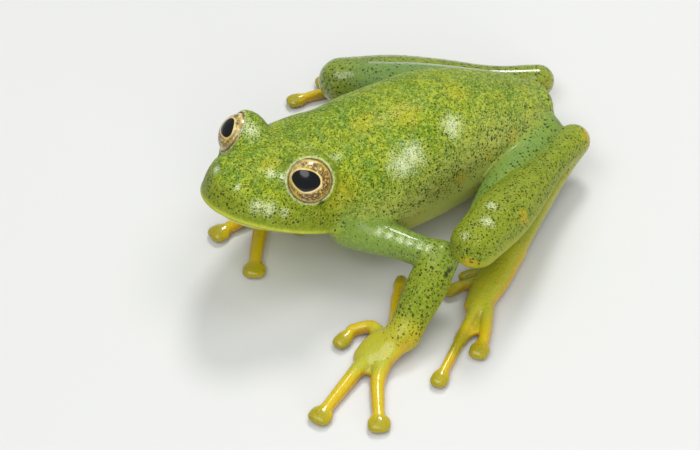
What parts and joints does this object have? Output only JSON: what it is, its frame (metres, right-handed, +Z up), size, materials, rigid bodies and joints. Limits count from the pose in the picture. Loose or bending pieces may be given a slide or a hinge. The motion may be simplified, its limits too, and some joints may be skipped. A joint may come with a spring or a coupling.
{
  "type": "glass frog",
  "caption": "Glass frog model in a still crouch, with raised eyes, spotted green back, long folded hind legs and padded toes.",
  "frame": {"origin": "on the floor under the middle of the bounding box", "axes": "the frog faces -Y, its left side is +X, +Z is up"},
  "size_m": [0.0314, 0.0302, 0.0112],
  "materials": {
    "back_skin": "moist skin, yellow-green with fine dark dots",
    "under_skin": "moist skin, pale and nearly without dots",
    "digit_skin": "wet skin, lime to golden yellow",
    "iris": "clear glossy surface over a golden iris"
  },
  "bodies": {
    "root": {"head": "back_skin", "torso": "back_skin", "eye_left": "iris", "upper_arm_left": "under_skin", "forearm_left": "back_skin", "hand_left": "digit_skin", "thigh_left": "under_skin", "shank_left": "back_skin", "tarsus_left": "digit_skin", "foot_left": "digit_skin", "eye_right": "iris", "upper_arm_right": "under_skin", "forearm_right": "back_skin", "hand_right": "digit_skin", "thigh_right": "under_skin", "shank_right": "back_skin", "tarsus_right": "digit_skin", "foot_right": "digit_skin"}
  },
  "joints": []
}
